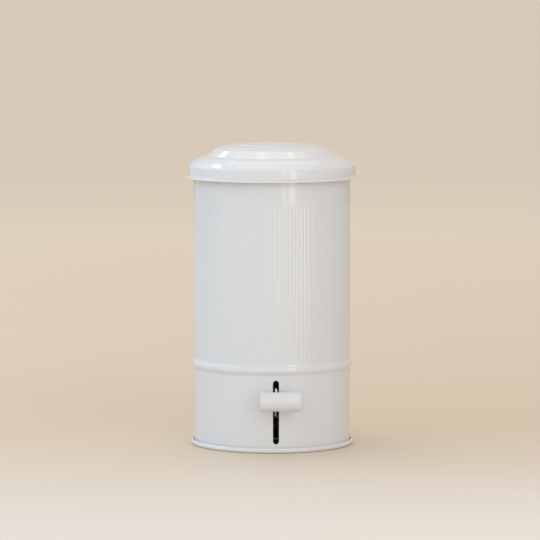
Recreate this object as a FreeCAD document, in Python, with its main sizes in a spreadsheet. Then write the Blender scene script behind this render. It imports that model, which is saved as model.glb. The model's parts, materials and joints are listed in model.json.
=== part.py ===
import FreeCAD, Part
import math
import operator
import os
from types import SimpleNamespace

import Sketcher

# A round pedal bin of painted sheet steel. Millimetres and degrees, +Z up.
# The origin is on the floor, on the drum's own axis. The pedal is at the front, on -Y,
# and the lid's hinge is at the rear, on +Y.

SIZES = (
    # The steel sheet and the drum
    ("sheet", 0.8, "thickness of the sheet that the drum, the dish and the lid are made of"),
    ("drum_r", 90.0, "outer radius of the drum's plain wall"),
    ("drum_top", 322.8, "top of the drum's rolled rim, under the closed lid"),
    ("drum_roll_r", 1.5, "radius of the drum's rolled rim"),
    ("bead_rise", 10.8, "height of the bead's middle over the pedal's slot"),
    ("bead_proud", 2.2, "how far the bead stands out of the wall"),
    ("bead_round", 7.0, "outer radius of the bead's own curve"),
    ("bead_root", 5.0, "outer radius of the curve between bead and wall"),
    ("flutes_rise", 9.6, "height of the flutes' start over the bead's middle"),
    ("flutes_gap", 0.1, "gap between the flutes and the hinge bracket's lower edge"),
    ("flutes_fade", 3.6, "height over which the flutes run out into the plain wall"),
    ("flute_count", 120, "number of flutes around the drum"),
    ("flute_step", 0.05, "how far the flutes' crests lie inside the plain wall's face"),
    ("flute_depth", 0.35, "how deep the valleys lie behind the crests"),
    ("slot_width", 6.9, "width of the pedal's slot"),
    ("slot_low", 10.2, "lower end of the pedal's slot"),
    ("slot_rise", 21.4, "height of the slot's upper end over the crossbar"),
    # The base dish
    ("dish_overhang", 3.8, "how far the dish's rolled rim stands out of the drum"),
    ("dish_roll_r", 3.0, "radius of the dish's rolled rim"),
    ("dish_gap", 1.2, "gap between the drum and the dish's rim"),
    ("dish_foot_inset", 6.0, "how far the flat ring that the bin stands on reaches inwards"),
    ("dish_lift", 2.2, "height of the dish's middle panel over the floor"),
    ("dish_slope", 2.5, "width of the step between foot and middle panel"),
    # The lid: width and rise from each ring of its pressed outer face to the next
    ("lid_lip_width", 5.2, "how far the lip stands out of the skirt's foot"),
    ("lid_lip_drop", 3.2, "height of the skirt's foot over the underside of the lip's rolled edge"),
    ("lid_lip_roll_r", 1.1, "radius of the lip's rolled edge"),
    ("lid_lip_crest", 0.4, "how far that edge stands over the lip's flange"),
    ("lid_overhang", 5.8, "how far the skirt's foot stands out of the drum"),
    ("lid_skirt_drop", 12.6, "height of the drum's rim over the skirt's foot"),
    ("lid_skirt_round", 1.6, "radius of the curve between skirt and lip"),
    ("lid_skirt_lean", 0.6, "how far the shoulder stands out of the skirt's foot"),
    ("lid_skirt_height", 11.0, "height of the shoulder over the skirt's foot"),
    ("lid_slope_width", 5.8, "width of the steep slope inside the shoulder"),
    ("lid_slope_rise", 5.1, "rise of the steep slope"),
    ("lid_ridge_two_width", 8.0, "width from the slope to the outer ridge"),
    ("lid_ridge_two_rise", 4.4, "rise from the slope to the outer ridge"),
    ("lid_valley_width", 6.6, "width from the outer ridge to the valley"),
    ("lid_valley_rise", 1.9, "rise from the outer ridge to the valley"),
    ("lid_ridge_one_width", 10.0, "width from the valley to the inner ridge"),
    ("lid_ridge_one_rise", 7.4, "rise from the valley to the inner ridge"),
    ("lid_terrace_width", 8.0, "width from the inner ridge to the terrace"),
    ("lid_terrace_rise", 2.8, "rise from the inner ridge to the terrace"),
    ("lid_crown_width", 9.5, "width from the terrace to the crown"),
    ("lid_crown_rise", 2.1, "rise from the terrace to the crown"),
    ("lid_disc_border", 10.1, "width of the crown around the flat disc"),
    ("lid_disc_rise", 0.8, "rise from the crown to the flat disc"),
    ("lid_disc_step", 0.5, "height of the step around the disc"),
    ("lid_shoulder_round", 2.6, "radius of the rounded shoulder"),
    ("lid_ridge_round", 5.0, "radius of the rounded ridges"),
    # The hinge and the lid's arm
    ("hinge_reach", 7.0, "distance of the hinge pin behind the drum's wall"),
    ("hinge_drop", 25.5, "height of the drum's rim over the hinge pin"),
    ("lid_open_angle", 75.0, "degrees that the lid opens"),
    ("hinge_pin_r", 2.0, "radius of the hinge pin"),
    ("hinge_hub_r", 4.8, "radius of the metal around the hinge pin"),
    ("arm_sheet", 1.5, "thickness of the arm's and the brackets' strip"),
    ("arm_half_width", 7.0, "half the width over the arm's two cheeks"),
    ("neck_gap", 1.3, "gap between the drum's wall and the arm over the window"),
    ("lift_pin_r", 1.75, "radius of the lift pin"),
    ("lift_hub_r", 4.0, "radius of the metal around the lift pin"),
    ("window_half_width", 8.2, "half the width of the drum's rear window"),
    ("window_drop", 12.8, "height of the hinge pin over the window's lower edge"),
    ("window_rise", 12.6, "height of the window's upper edge over the hinge pin"),
    ("bracket_half_width", 19.5, "half the width of the hinge bracket"),
    ("bracket_drop", 15.8, "height of the hinge pin over the bracket's lower edge"),
    ("bracket_rise", 7.0, "height of the bracket's upper edge over the hinge pin"),
    ("side_play", 0.6, "gap between the arm's cheeks and the bracket's ears"),
    # The pedal
    ("pivot_z", 27.3, "height of the pedal's pivot"),
    ("pedal_travel_angle", 19.0, "degrees that the pedal goes down"),
    ("lever_sheet", 2.0, "thickness of the pedal's lever"),
    ("crossbar_reach", 22.3, "distance of the crossbar in front of the drum's wall"),
    ("crossbar_z", 61.5, "height of the crossbar"),
    ("crossbar_r", 4.0, "radius of the crossbar"),
    ("crossbar_length", 44.0, "length of the crossbar"),
    ("crossbar_shift", 3.8, "how far bar and sleeve sit to the right of the lever"),
    ("crossbar_eye_r", 5.4, "radius of the lever's end around the crossbar"),
    ("sleeve_r", 10.9, "outer radius of the pedal's sleeve"),
    ("sleeve_length", 45.5, "length of the pedal's sleeve"),
    ("sleeve_edge", 0.7, "radius of the sleeve's rounded ends"),
    ("lever_drop", 10.0, "height of the crossbar over the lever's underside in the slot"),
    ("lever_rise", 12.3, "height of the lever's upper side in the slot over the crossbar"),
    ("lever_nose", 6.5, "half the height of the lever's nose behind the sleeve"),
    ("lever_heel_inset", 10.5, "distance of the lever's lower corner behind the drum's front"),
    ("lever_heel_drop", 10.7, "height of the lever's underside in the slot over its lower corner"),
    ("lever_hub_r", 8.5, "radius of the lever's plate around its pivot"),
    ("bush_r", 5.5, "outer radius of the bush in the lever"),
    ("bush_length", 20.0, "length of that bush"),
    ("pivot_pin_r", 2.5, "radius of the pedal's pivot pin"),
    ("rear_arm", 60.0, "distance from the pedal's pivot to the rod pin"),
    ("rod_pin_r", 2.0, "radius of the rod pin"),
    ("rod_pin_hub_r", 5.2, "radius of the lever's end around the rod pin"),
    ("pivot_bracket_length", 34.0, "length of the pivot bracket's web"),
    ("pivot_ear_r", 7.0, "radius of the pivot bracket's ears around the pin"),
    ("pivot_rivet_reach", 11.5, "distance of the web's rivets from the pivot"),
    # The lift rod and its guides
    ("rod_sheet", 2.0, "thickness of the lift rod"),
    ("rod_width", 8.0, "width of the lift rod"),
    ("rod_gap", 0.4, "gap between the lift rod and the lever"),
    ("eye_wall", 2.2, "metal around the lift rod's eyes"),
    ("upper_eye_play", 0.4, "gap over and under the lift pin in its eye"),
    ("lower_eye_play", 0.3, "gap over and under the rod pin in its eye"),
    ("guide_play", 0.25, "gap around the lift rod in its guides"),
    ("guide_border", 1.8, "metal around the rod in a guide"),
    ("guide_flange", 12.0, "height of a guide's flange on the drum"),
    ("guide_reach", 6.0, "metal beside the rod in a guide"),
    ("upper_guide_drop", 31.2, "height of the window's lower edge over the upper guide"),
    ("lower_guide_drop", 36.0, "height of the bead's middle over the lower guide"),
    # The false floor under the bucket
    ("shelf_reach", 1.1, "how far the false floor reaches into the bead, past the drum's outer radius"),
    ("shelf_recess_gap", 4.5, "gap around the bucket's foot in the false floor"),
    ("shelf_recess", 2.0, "depth of that recess"),
    ("shelf_notch_margin", 2.2, "gap around the lift rod in the false floor"),
    # The bucket and its bail
    ("bucket_taper", 8.2, "how much narrower the bucket is at its foot than at its top"),
    ("bucket_rim_width", 3.2, "how far the bucket's rim stands out of its wall"),
    ("bucket_gap", 13.8, "gap between the bucket's rim and the drum's wall"),
    ("bucket_drop", 21.5, "height of the drum's rim over the bucket's rim"),
    ("bucket_wall", 1.6, "thickness of the bucket's wall"),
    ("bucket_rim_drop", 6.0, "height of the rim's turned down edge"),
    ("bucket_foot_bevel", 3.0, "bevel around the bucket's foot"),
    ("ear_half_width", 7.0, "half the width of a bucket ear"),
    ("ear_thickness", 2.5, "thickness of a bucket ear"),
    ("ear_height", 5.6, "height of the bail's pivot over the rim"),
    ("ear_inset", 0.2, "how far an ear's inner face lies inside the bucket's rim"),
    ("bail_wire_r", 1.75, "radius of the bail's wire"),
    ("bail_inset", 4.4, "how far the bail's bow lies inside the bucket's rim"),
    ("bail_bend_r", 3.2, "radius of the bends at the bail's ends"),
    ("bail_end_reach", 1.8, "how far the bail's ends stand out of the ears"),
    ("bail_gap", 0.2, "gap between the bail at rest and the rim"),
    # Clips, rivets, caps and bumpers
    ("clip_width", 12.0, "width of a base clip"),
    ("clip_height", 14.0, "height of a base clip"),
    ("clip_reach", 18.0, "length of a base clip's foot"),
    ("clip_rivet_inset", 12.7, "distance of a clip's rivet from the drum's wall"),
    ("rivet_r", 1.6, "radius of a rivet's shank"),
    ("rivet_head_r", 2.9, "radius of a rivet's head"),
    ("rivet_head", 1.1, "height of a rivet's head"),
    ("lid_rivet_rise", 5.0, "height of the two rivets in the skirt over the skirt's foot"),
    ("lid_rivet_x", 2.65, "distance of those rivets from the middle"),
    ("lid_rivet_head_r", 2.3, "radius of their heads"),
    ("bracket_rivet_x", 14.6, "distance of a bracket rivet from the middle, along the wall"),
    ("bracket_rivet_rise", 3.8, "height of the bracket's lower rivets over its lower edge"),
    ("bracket_rivet_drop", 5.5, "height of the bracket's upper edge over its upper rivets"),
    ("cap_r", 3.8, "radius of the push-on caps and pin heads"),
    ("cap_height", 1.6, "height of a push-on cap or pin head"),
    ("bumper_cap", 1.0, "rubber over the rim"),
    ("bumper_wall", 0.9, "rubber beside the rim"),
    ("bumper_drop", 6.5, "height of a bumper clip"),
    ("bumper_angle", 6.0, "degrees of the rim that a bumper covers"),
    # Clearances
    ("running", 0.06, "radial gap of a pin that turns in its hole"),
    ("fixed", 0.03, "radial gap of a pin or rivet that is fixed in its hole"),
    ("seat", 0.05, "gap between curved pieces that are fixed together"),
    ("overrun", 3.0, "how far a cutting shape reaches past what it cuts"),
)

doc = FreeCAD.newDocument("pedal_bin")
table = doc.addObject("Spreadsheet::Sheet", "Sizes")
for row, (alias, number, meaning) in enumerate(SIZES, start=1):
    table.set(f"A{row}", meaning)
    table.set(f"B{row}", str(number))
    table.setAlias(f"B{row}", alias)
doc.recompute()


class Size:
    """A number together with the sheet formula that gives it."""

    def __init__(self, value, formula):
        self.value = value
        self.formula = formula

    def __add__(self, other):
        return joined(self, "+", other)

    def __radd__(self, other):
        return joined(other, "+", self)

    def __sub__(self, other):
        return joined(self, "-", other)

    def __rsub__(self, other):
        return joined(other, "-", self)

    def __mul__(self, other):
        return joined(self, "*", other)

    def __rmul__(self, other):
        return joined(other, "*", self)

    def __truediv__(self, other):
        return joined(self, "/", other)

    def __neg__(self):
        return Size(-self.value, f"(-1 * {self.formula})")


SIGNS = {"+": operator.add, "-": operator.sub, "*": operator.mul, "/": operator.truediv}


def as_size(number):
    return number if isinstance(number, Size) else Size(float(number), str(number))


def joined(left, sign, right):
    left, right = as_size(left), as_size(right)
    return Size(SIGNS[sign](left.value, right.value), f"({left.formula} {sign} {right.formula})")


def root(size):
    return Size(math.sqrt(size.value), f"sqrt({size.formula})")


def cosine(angle):
    return Size(math.cos(math.radians(angle.value)), f"cos({angle.formula} * 1deg)")


def sine(angle):
    return Size(math.sin(math.radians(angle.value)), f"sin({angle.formula} * 1deg)")


def other_side(long_side, side):
    """The second short side of a right-angled triangle."""
    return root(long_side * long_side - side * side)


s = SimpleNamespace(**{alias: Size(float(table.get(alias)), f"Sizes.{alias}") for alias, *_ in SIZES})
ZERO = Size(0.0, "0")

# Radii, distances from the axis and heights that follow from those sizes. The drum's radius
# and its top lead for the body, the crossbar's height leads for the pedal, slot and bead.
drum_inner_r = s.drum_r - s.sheet
dish_r = s.drum_r + s.dish_overhang
dish_wall_r = s.drum_r + s.dish_gap
dish_foot_r = s.drum_r - s.dish_foot_inset
slot_high = s.crossbar_z + s.slot_rise
bead_z = slot_high + s.bead_rise
flutes_low = bead_z + s.flutes_rise
crossbar_y = s.drum_r + s.crossbar_reach
lever_low = s.crossbar_z - s.lever_drop
lever_high = s.crossbar_z + s.lever_rise
lever_heel_y = s.drum_r - s.lever_heel_inset
lever_heel_z = lever_low - s.lever_heel_drop
hinge_y = s.drum_r + s.hinge_reach
hinge_z = s.drum_top - s.hinge_drop
arm_neck = s.drum_r + s.neck_gap
window_low = hinge_z - s.window_drop
window_high = hinge_z + s.window_rise
bracket_low = hinge_z - s.bracket_drop
bracket_high = hinge_z + s.bracket_rise
bracket_rivet_low = bracket_low + s.bracket_rivet_rise
bracket_rivet_high = bracket_high - s.bracket_rivet_drop
flutes_high = bracket_low - s.flutes_gap
upper_guide_z = window_low - s.upper_guide_drop
lower_guide_z = bead_z - s.lower_guide_drop
lid_skirt_r = s.drum_r + s.lid_overhang
lid_skirt_low = s.drum_top - s.lid_skirt_drop
lid_lip_r = lid_skirt_r + s.lid_lip_width
lid_lip_low = lid_skirt_low - s.lid_lip_drop
lid_shoulder_r = lid_skirt_r + s.lid_skirt_lean
lid_shoulder_z = lid_skirt_low + s.lid_skirt_height
lid_bend_r = lid_shoulder_r - s.lid_slope_width
lid_bend_z = lid_shoulder_z + s.lid_slope_rise
lid_ridge_two_r = lid_bend_r - s.lid_ridge_two_width
lid_ridge_two_z = lid_bend_z + s.lid_ridge_two_rise
lid_valley_r = lid_ridge_two_r - s.lid_valley_width
lid_valley_z = lid_ridge_two_z + s.lid_valley_rise
lid_ridge_one_r = lid_valley_r - s.lid_ridge_one_width
lid_ridge_one_z = lid_valley_z + s.lid_ridge_one_rise
lid_terrace_r = lid_ridge_one_r - s.lid_terrace_width
lid_terrace_z = lid_ridge_one_z + s.lid_terrace_rise
lid_crown_r = lid_terrace_r - s.lid_crown_width
lid_crown_z = lid_terrace_z + s.lid_crown_rise
lid_disc_r = lid_crown_r - s.lid_disc_border
lid_disc_z = lid_crown_z + s.lid_disc_rise
lid_rivet_z = lid_skirt_low + s.lid_rivet_rise
arm_top = lid_shoulder_z - s.lid_shoulder_round
shelf_r = s.drum_r + s.shelf_reach
bucket_rim_r = drum_inner_r - s.bucket_gap
bucket_top_r = bucket_rim_r - s.bucket_rim_width
bucket_foot_r = bucket_top_r - s.bucket_taper
bucket_top = s.drum_top - s.bucket_drop
shelf_recess_r = bucket_foot_r + s.shelf_recess_gap
ear_inner_x = bucket_rim_r - s.ear_inset
ear_outer_x = ear_inner_x + s.ear_thickness
bail_r = bucket_rim_r - s.bail_inset
bail_end_x = ear_outer_x + s.bail_end_reach
clip_rivet_r = drum_inner_r - s.clip_rivet_inset

# The linkage. Both arms rise by the same height over the whole travel, and each pin drifts
# sideways by twice its slide while its eye lets it.
half_travel = s.pedal_travel_angle / 2
half_swing = s.lid_open_angle / 2
lift_arm = s.rear_arm * sine(half_travel) / sine(half_swing)
lift_pin = (hinge_y - lift_arm * cosine(half_swing), hinge_z - lift_arm * sine(half_swing))
upper_slide = lift_arm * (1 - cosine(half_swing)) / 2
lower_slide = s.rear_arm * (1 - cosine(half_travel)) / 2
rod_y = lift_pin[0] - upper_slide
rod_pin = (rod_y - lower_slide, s.pivot_z - s.rear_arm * sine(half_travel))
pivot_y = rod_pin[0] - s.rear_arm * cosine(half_travel)


def bind(thing, path, size):
    thing.setExpression(path, as_size(size).formula)


def origin_plane(body, role):
    return next(plane for plane in body.Origin.OriginFeatures if plane.Role == role)


def arc_to(across, up, radius, centre, turn):
    """A side of an outline that bends to the given corner: turn is 1 to the left, -1 to the right."""
    return SimpleNamespace(across=across, up=up, radius=radius, centre=centre, turn=turn)


def outline_sketch(body, plane, corners, holes=()):
    """A closed outline through the corners, and round holes, with every size bound to the sheet."""
    sketch = body.newObject("Sketcher::SketchObject", "Outline")
    sketch.AttachmentSupport = [(origin_plane(body, plane), "")]
    sketch.MapMode = "FlatFace"
    ends = [(c.across, c.up) if isinstance(c, SimpleNamespace) else c for c in corners]
    ends = [(as_size(across), as_size(up)) for across, up in ends]
    shapes, starts, stops, rules, names, middles = [], [], [], [], [], []
    for index, (across, up) in enumerate(ends):
        following = corners[(index + 1) % len(corners)]
        next_across, next_up = ends[(index + 1) % len(ends)]
        first = FreeCAD.Vector(across.value, up.value, 0)
        last = FreeCAD.Vector(next_across.value, next_up.value, 0)
        starts.append(1)
        stops.append(2)
        if isinstance(following, SimpleNamespace):
            across, up = (as_size(number).value for number in following.centre)
            centre = FreeCAD.Vector(across, up, 0)
            if following.turn < 0:
                first, last = last, first
                starts[-1], stops[-1] = 2, 1
            angles = [math.atan2(end.y - centre.y, end.x - centre.x) for end in (first, last)]
            circle = Part.Circle(centre, FreeCAD.Vector(0, 0, 1), as_size(following.radius).value)
            shapes.append(Part.ArcOfCircle(circle, angles[0], angles[1]))
            steep = abs(last.y - first.y) > abs(last.x - first.x)
            tie = ("X", -2, following.centre[0]) if steep else ("Y", -1, following.centre[1])
            middles.append((index, *tie))
        else:
            shapes.append(Part.LineSegment(first, last))
    count = len(ends)
    ties = [Sketcher.Constraint("Coincident", index, stops[index], (index + 1) % count,
                                starts[(index + 1) % count])
            for index in range(count)]
    for index, (across, up) in enumerate(ends):
        for way, axis, size in (("X", -2, across), ("Y", -1, up)):
            if size.formula == "0":
                ties.append(Sketcher.Constraint("PointOnObject", index, starts[index], axis))
            else:
                rules.append(Sketcher.Constraint("Distance" + way, -1, 1, index, starts[index], size.value))
                names.append((f"place_{way}_{index}", size))
    for index, way, axis, size in middles:
        size = as_size(size)
        if size.formula == "0":
            ties.append(Sketcher.Constraint("PointOnObject", index, 3, axis))
        else:
            rules.append(Sketcher.Constraint("Distance" + way, -1, 1, index, 3, size.value))
            names.append((f"middle_{index}", size))
    for number, (across, up, radius) in enumerate(holes):
        index = count + number
        across, up, radius = as_size(across), as_size(up), as_size(radius)
        middle = FreeCAD.Vector(across.value, up.value, 0)
        shapes.append(Part.Circle(middle, FreeCAD.Vector(0, 0, 1), radius.value))
        rules.append(Sketcher.Constraint("Radius", index, radius.value))
        names.append((f"hole_{number}", radius))
        for way, size in (("X", across), ("Y", up)):
            rules.append(Sketcher.Constraint("Distance" + way, -1, 1, index, 3, size.value))
            names.append((f"hole_{way}_{number}", size))
    sketch.addGeometry(shapes, False)
    sketch.addConstraint(ties + rules)
    for order, (name, size) in enumerate(names, start=len(ties)):
        sketch.renameConstraint(order, name)
        sketch.setExpression(f"Constraints.{name}", as_size(size).formula)
    return sketch


def revolved(label, corners):
    """A turned or spun piece: its half section, turned once around the axis."""
    body = doc.addObject("PartDesign::Body", label)
    turn = body.newObject("PartDesign::Revolution", "Turn")
    turn.Profile = outline_sketch(body, "XZ_Plane", corners)
    turn.ReferenceAxis = (turn.Profile[0], ["V_Axis"])
    body.Tip = turn
    return body


def pressed(label, plane, corners, thickness, holes=()):
    """A piece cut from flat stock, half its thickness on each side of the plane."""
    body = doc.addObject("PartDesign::Body", label)
    pad = body.newObject("PartDesign::Pad", "Stock")
    pad.Profile = outline_sketch(body, plane, corners, holes)
    pad.Midplane = True
    bind(pad, "Length", thickness)
    body.Tip = pad
    return body


def moved(thing, across=ZERO, back=ZERO, up=ZERO):
    for path, size in (("x", across), ("y", back), ("z", up)):
        bind(thing, f"Placement.Base.{path}", size)
    return thing


def turned(thing, angle):
    """The piece, turned about the bin's axis by an angle in degrees."""
    spin = FreeCAD.Rotation(FreeCAD.Vector(0, 0, 1), angle)
    thing.Placement = FreeCAD.Placement(thing.Placement.Base, spin)
    return thing


ALONG = {
    "X": FreeCAD.Rotation(FreeCAD.Vector(0, 1, 0), 90),
    "Y": FreeCAD.Rotation(FreeCAD.Vector(1, 0, 0), -90),
    "Z": FreeCAD.Rotation(),
}


def rod(label, way, radius, length, across=ZERO, back=ZERO, up=ZERO):
    thing = doc.addObject("Part::Cylinder", label)
    thing.Placement = FreeCAD.Placement(FreeCAD.Vector(), ALONG[way])
    bind(thing, "Radius", radius)
    bind(thing, "Height", length)
    return moved(thing, across, back, up)


def block(label, low, high):
    """A box between two corners."""
    thing = doc.addObject("Part::Box", label)
    for path, start, stop in zip(("Length", "Width", "Height"), low, high):
        bind(thing, path, as_size(stop) - start)
    return moved(thing, *low)


def fused(label, *pieces):
    thing = doc.addObject("Part::MultiFuse", label)
    thing.Shapes = list(pieces)
    return thing


def together(label, pieces):
    """Several separate solids that share one node."""
    thing = doc.addObject("Part::Compound", label)
    thing.Links = list(pieces)
    return thing


def cut(label, base, *tools):
    thing = doc.addObject("Part::Cut", label)
    thing.Base = base
    thing.Tool = tools[0] if len(tools) == 1 else fused(label + "_cutters", *tools)
    return thing


def rivet(label, way, grip, across=ZERO, back=ZERO, up=ZERO, head_r=s.rivet_head_r):
    """A rivet with two bevelled heads. Its place is where its shank enters the first sheet."""
    tip = doc.addObject("Part::Cone", label + "_set_head")
    foot = doc.addObject("Part::Cone", label + "_made_head")
    crown_share = 0.6
    for cone, wide, narrow in ((tip, "Radius1", "Radius2"), (foot, "Radius2", "Radius1")):
        bind(cone, wide, head_r)
        bind(cone, narrow, head_r * crown_share)
        bind(cone, "Height", s.rivet_head)
    moved(tip, up=grip)
    moved(foot, up=-s.rivet_head)
    thing = fused(label, rod(label + "_shank", "Z", s.rivet_r, grip), tip, foot)
    thing.Placement = FreeCAD.Placement(FreeCAD.Vector(), ALONG[way])
    return moved(thing, across, back, up)


def headed_pin(label, radius, start, stop, back, up):
    """A pin along X with a head at its left end and a push-on cap on its right end."""
    shank = rod(label + "_shank", "X", radius, stop - start + s.cap_height, start, back, up)
    head = rod(label + "_head", "X", s.cap_r, s.cap_height, start - s.cap_height, back, up)
    return fused(label, shank, head)


def pin_cap(label, radius, start, back, up):
    cap = rod(label + "_disc", "X", s.cap_r, s.cap_height, start, back, up)
    bore = rod(label + "_bore", "X", radius + s.fixed, s.cap_height + s.overrun,
               start - s.overrun / 2, back, up)
    return cut(label, cap, bore)


def curved_plate(label, inner_r, thickness, half_width, low, high):
    """A plate at the rear that follows the drum, from one height to another."""
    outer_r = inner_r + thickness
    axis = (ZERO, ZERO)
    corners = [
        (-half_width, other_side(inner_r, half_width)),
        arc_to(half_width, other_side(inner_r, half_width), inner_r, axis, -1),
        (half_width, other_side(outer_r, half_width)),
        arc_to(-half_width, other_side(outer_r, half_width), outer_r, axis, 1),
    ]
    body = doc.addObject("PartDesign::Body", label)
    pad = body.newObject("PartDesign::Pad", "Plate")
    pad.Profile = outline_sketch(body, "XY_Plane", corners)
    bind(pad, "Length", high - low)
    body.Tip = pad
    return moved(body, up=low)


def link_corners(near, near_r, far, far_r):
    """The four corners of the straight stretch between two round ends."""
    run_y, run_z = far[0] - near[0], far[1] - near[1]
    run = root(run_y * run_y + run_z * run_z)
    side_y, side_z = run_z / run, run_y / run
    return [
        (near[0] - side_y * near_r, near[1] + side_z * near_r),
        (near[0] + side_y * near_r, near[1] - side_z * near_r),
        (far[0] + side_y * far_r, far[1] - side_z * far_r),
        (far[0] - side_y * far_r, far[1] + side_z * far_r),
    ]


nodes = {}


def keep(name, thing):
    thing.Label = name
    nodes[name] = thing
    return thing


# The base dish: the flat ring at its edge stands on the floor, and its middle is raised,
# so that the rivets under it stay clear of the floor.
dish_roll_centre = (dish_r - s.dish_roll_r, s.dish_roll_r)
dish_rim_top = s.dish_roll_r + other_side(s.dish_roll_r, dish_roll_centre[0] - dish_wall_r)
dish_floor = s.dish_lift + s.sheet
dish_blank = revolved("dish_blank", [
    (ZERO, s.dish_lift),
    (dish_foot_r - s.dish_slope, s.dish_lift),
    (dish_foot_r, ZERO),
    (dish_roll_centre[0], ZERO),
    arc_to(dish_wall_r, dish_rim_top, s.dish_roll_r, dish_roll_centre, 1),
    (dish_wall_r, s.sheet),
    (dish_foot_r + s.sheet, s.sheet),
    (dish_foot_r - s.dish_slope + s.sheet, dish_floor),
    (ZERO, dish_floor),
])

# Rivets through the dish, for the clips and for the pivot bracket.
clip_angles = (45.0, 135.0, 225.0, 315.0)
clip_rivets = [turned(rivet(f"clip_rivet_{number}", "Z", s.sheet + s.arm_sheet), angle)
               for number, angle in enumerate(clip_angles)]
for thing, angle in zip(clip_rivets, clip_angles):
    aim = Size(angle, str(angle))
    moved(thing, clip_rivet_r * cosine(aim), clip_rivet_r * sine(aim), s.dish_lift)
pivot_rivet_places = (pivot_y - s.pivot_rivet_reach, pivot_y + s.pivot_rivet_reach)
pivot_rivets = [rivet(f"pivot_rivet_{number}", "Z", s.sheet + s.arm_sheet, ZERO, place, s.dish_lift)
                for number, place in enumerate(pivot_rivet_places)]


def upright_holes(label, rivets):
    """Holes for upright rivets, a little wider than their shanks."""
    holes = []
    for number, thing in enumerate(rivets):
        hole = rod(f"{label}_{number}", "Z", s.rivet_r + s.fixed, s.arm_sheet + s.sheet + 2 * s.overrun)
        hole.setExpression("Placement.Base.x", f"{thing.Name}.Placement.Base.x")
        hole.setExpression("Placement.Base.y", f"{thing.Name}.Placement.Base.y")
        bind(hole, "Placement.Base.z", s.dish_lift - s.overrun)
        holes.append(hole)
    return fused(label, *holes)


clip_holes = upright_holes("clip_holes", clip_rivets)
pivot_holes = upright_holes("pivot_holes", pivot_rivets)
keep("base_dish", cut("base_dish", dish_blank, clip_holes, pivot_holes))
keep("base_clip_rivets", together("base_clip_rivets", clip_rivets))
keep("pivot_bracket_rivets", together("pivot_bracket_rivets", pivot_rivets))

# Four clips join the drum's wall to the dish.
clip_face = other_side(drum_inner_r, s.clip_width / 2) - s.seat
clips = []
for number, angle in enumerate(clip_angles):
    clip = pressed(f"clip_{number}", "XZ_Plane", [
        (clip_face - s.clip_reach, dish_floor),
        (clip_face, dish_floor),
        (clip_face, dish_floor + s.clip_height),
        (clip_face - s.arm_sheet, dish_floor + s.clip_height),
        (clip_face - s.arm_sheet, dish_floor + s.arm_sheet),
        (clip_face - s.clip_reach, dish_floor + s.arm_sheet),
    ], s.clip_width)
    clips.append(turned(clip, angle))
keep("base_clips", cut("base_clips", together("clip_set", clips), clip_holes))

# The drum's wall: one sheet with a bead above the pedal and a rolled rim at the top.
bead_middle_r = s.drum_r + s.bead_proud - s.bead_round
bead_reach = s.bead_root + s.bead_round
root_r = s.drum_r + s.bead_root
bead_half = other_side(bead_reach, root_r - bead_middle_r)
lean_across, lean_up = (root_r - bead_middle_r) / bead_reach, bead_half / bead_reach
bead_inner = s.bead_round - s.sheet
root_inner = s.bead_root + s.sheet
bead_low, bead_high = bead_z - bead_half, bead_z + bead_half
rim_centre = (drum_inner_r + s.drum_roll_r, s.drum_top - s.drum_roll_r)
rim_start = rim_centre[1] - other_side(s.drum_roll_r, rim_centre[0] - s.drum_r)
bead_centre = (bead_middle_r, bead_z)
drum_wall = revolved("drum_wall", [
    (drum_inner_r, s.sheet),
    (s.drum_r, s.sheet),
    (s.drum_r, bead_low),
    arc_to(bead_middle_r + s.bead_round * lean_across, bead_z - s.bead_round * lean_up,
           s.bead_root, (root_r, bead_low), -1),
    arc_to(bead_middle_r + s.bead_round * lean_across, bead_z + s.bead_round * lean_up,
           s.bead_round, bead_centre, 1),
    arc_to(s.drum_r, bead_high, s.bead_root, (root_r, bead_high), -1),
    (s.drum_r, rim_start),
    arc_to(drum_inner_r, rim_centre[1], s.drum_roll_r, rim_centre, 1),
    (drum_inner_r, bead_high),
    arc_to(bead_middle_r + bead_inner * lean_across, bead_z + bead_inner * lean_up,
           root_inner, (root_r, bead_high), 1),
    arc_to(bead_middle_r + bead_inner * lean_across, bead_z - bead_inner * lean_up,
           bead_inner, bead_centre, -1),
    arc_to(drum_inner_r, bead_low, root_inner, (root_r, bead_low), 1),
])


# The flutes are pressed into the wall: their crests lie just inside its face.
flute_crest_r = s.drum_r - s.flute_step
flute_valley_r = flute_crest_r - s.flute_depth
flute_core_r = (flute_valley_r + drum_inner_r) / 2
flute_room = revolved("flute_room", [
    (flute_core_r, flutes_low),
    (s.drum_r + s.overrun, flutes_low),
    (s.drum_r + s.overrun, flutes_high),
    (flute_core_r, flutes_high),
])


def flute_ring():
    """The fluted band: round arcs around the drum that run out into a plain ring at both ends."""
    count = int(s.flute_count.value)
    low, high, fade = flutes_low.value, flutes_high.value, s.flutes_fade.value

    def on_ring(radius, turns, height):
        angle = 2 * math.pi * turns
        return FreeCAD.Vector(radius.value * math.cos(angle), radius.value * math.sin(angle), height)

    def outline(valley_r, height):
        return Part.Wire([Part.Arc(on_ring(valley_r, number / count, height),
                                   on_ring(flute_crest_r, (number + 0.5) / count, height),
                                   on_ring(valley_r, (number + 1) / count, height)).toShape()
                          for number in range(count)])

    band = Part.makeLoft([outline(flute_crest_r, low), outline(flute_valley_r, low + fade),
                          outline(flute_valley_r, high - fade), outline(flute_crest_r, high)],
                         True, True)
    return band.cut(Part.makeCylinder(flute_core_r.value, high - low, FreeCAD.Vector(0, 0, low)))


flute_band = doc.addObject("Part::Feature", "flute_band")
flute_band.Shape = flute_ring()
flute_band.Placement = FreeCAD.Placement()

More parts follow.
